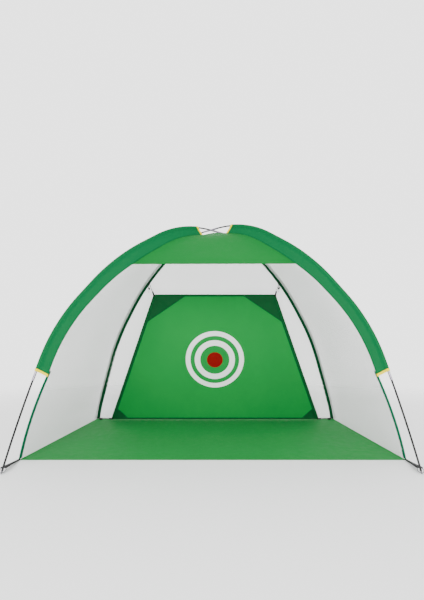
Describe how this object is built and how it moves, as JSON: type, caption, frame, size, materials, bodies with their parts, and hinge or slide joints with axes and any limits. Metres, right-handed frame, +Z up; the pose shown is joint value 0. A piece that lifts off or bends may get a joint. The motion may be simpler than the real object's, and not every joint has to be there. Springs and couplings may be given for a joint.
{
  "type": "golf chipping net",
  "caption": "Pop-up chipping net on two crossed bent poles, with mesh sides and back, a floor sheet, a front valance and a tied target cloth.",
  "frame": {"origin": "centre of the floor sheet's underside, on the ground", "axes": "+Z up, -Y out of the front opening, +X to the right seen from the front"},
  "size_m": [2.072, 1.2269, 1.3656],
  "materials": {
    "fibreglass": "satin black glass-fibre rod",
    "ferrule": "satin metal tube",
    "elastic_cord": "braided black elastic",
    "steel": "zinc-plated wire",
    "webbing": "black woven webbing",
    "light_cloth": "light green woven polyester",
    "net": "fine white knotless mesh",
    "sleeve_cloth": "dark green woven polyester",
    "patch_cloth": "deep green woven polyester",
    "binding_tape": "teal-green binding tape",
    "trim_tape": "yellow binding tape",
    "lock_plastic": "black moulded plastic"
  },
  "bodies": {
    "net": {"corner_strap_front_left": "webbing", "corner_strap_front_right": "webbing", "corner_strap_rear_left": "webbing", "corner_strap_rear_right": "webbing", "edge_binding_left": "binding_tape", "edge_binding_right": "binding_tape", "floor_sheet": "light_cloth", "foot_pins": "steel", "foot_rings": "steel", "front_sleeve_left": "sleeve_cloth", "front_sleeve_right": "sleeve_cloth", "front_valance": "light_cloth", "net_tie_loops": "webbing", "pole_a_ferrules": "ferrule", "pole_a_section_1": "fibreglass", "pole_a_section_2": "fibreglass", "pole_a_section_3": "fibreglass", "pole_a_section_4": "fibreglass", "pole_a_section_5": "fibreglass", "pole_a_section_6": "fibreglass", "pole_a_section_7": "fibreglass", "pole_a_section_8": "fibreglass", "pole_a_shock_cord": "elastic_cord", "pole_b_ferrules": "ferrule", "pole_b_section_1": "fibreglass", "pole_b_section_2": "fibreglass", "pole_b_section_3": "fibreglass", "pole_b_section_4": "fibreglass", "pole_b_section_5": "fibreglass", "pole_b_section_6": "fibreglass", "pole_b_section_7": "fibreglass", "pole_b_section_8": "fibreglass", "pole_b_shock_cord": "elastic_cord", "rear_mesh": "net", "rear_sleeve_left": "patch_cloth", "rear_sleeve_right": "patch_cloth", "side_mesh_left": "net", "side_mesh_right": "net", "sleeve_trims": "trim_tape", "tie_cord_bottom_left": "elastic_cord", "tie_cord_bottom_right": "elastic_cord", "tie_cord_top_left": "elastic_cord", "tie_cord_top_right": "elastic_cord"},
    "target": {"target_cloth": "light_cloth", "target_binding": "patch_cloth", "target_corner_patches": "patch_cloth", "target_tabs": "webbing", "target_tab_rings": "steel"},
    "lock_top_left": {"cord_lock_top_left": "lock_plastic", "lock_spring_top_left": "steel"},
    "button_top_left": {"lock_plunger_top_left": "lock_plastic"},
    "lock_top_right": {"cord_lock_top_right": "lock_plastic", "lock_spring_top_right": "steel"},
    "button_top_right": {"lock_plunger_top_right": "lock_plastic"},
    "lock_bottom_left": {"cord_lock_bottom_left": "lock_plastic", "lock_spring_bottom_left": "steel"},
    "button_bottom_left": {"lock_plunger_bottom_left": "lock_plastic"},
    "lock_bottom_right": {"cord_lock_bottom_right": "lock_plastic", "lock_spring_bottom_right": "steel"},
    "button_bottom_right": {"lock_plunger_bottom_right": "lock_plastic"}
  },
  "joints": [
    {"name": "target_recoil", "type": "slide", "parent": "net", "child": "target", "axis": [0, 1, 0], "range_m": [-0.02, 0.028], "stiffness_N_per_m": 160, "deforming": ["tie_cord_top_left", "tie_cord_top_right", "tie_cord_bottom_left", "tie_cord_bottom_right"]},
    {"name": "cord_lock_slide_top_left", "type": "slide", "parent": "net", "child": "lock_top_left", "axis": [0, 0, -1], "range_m": [0, 0.015]},
    {"name": "lock_button_top_left", "type": "slide", "parent": "lock_top_left", "child": "button_top_left", "axis": [0, 1, 0], "range_m": [0, 0.0034], "stiffness_N_per_m": 400, "springref_m": -0.003, "deforming": ["lock_spring_top_left"]},
    {"name": "cord_lock_slide_top_right", "type": "slide", "parent": "net", "child": "lock_top_right", "axis": [0, 0, -1], "range_m": [0, 0.015]},
    {"name": "lock_button_top_right", "type": "slide", "parent": "lock_top_right", "child": "button_top_right", "axis": [0, 1, 0], "range_m": [0, 0.0034], "stiffness_N_per_m": 400, "springref_m": -0.003, "deforming": ["lock_spring_top_right"]},
    {"name": "cord_lock_slide_bottom_left", "type": "slide", "parent": "net", "child": "lock_bottom_left", "axis": [0.6154, -0.7882, 0], "range_m": [0, 0.015]},
    {"name": "lock_button_bottom_left", "type": "slide", "parent": "lock_bottom_left", "child": "button_bottom_left", "axis": [0.7882, 0.6154, 0], "range_m": [0, 0.0034], "stiffness_N_per_m": 400, "springref_m": -0.003, "deforming": ["lock_spring_bottom_left"]},
    {"name": "cord_lock_slide_bottom_right", "type": "slide", "parent": "net", "child": "lock_bottom_right", "axis": [-0.6154, -0.7882, 0], "range_m": [0, 0.015]},
    {"name": "lock_button_bottom_right", "type": "slide", "parent": "lock_bottom_right", "child": "button_bottom_right", "axis": [-0.7882, 0.6154, 0], "range_m": [0, 0.0034], "stiffness_N_per_m": 400, "springref_m": -0.003, "deforming": ["lock_spring_bottom_right"]}
  ]
}
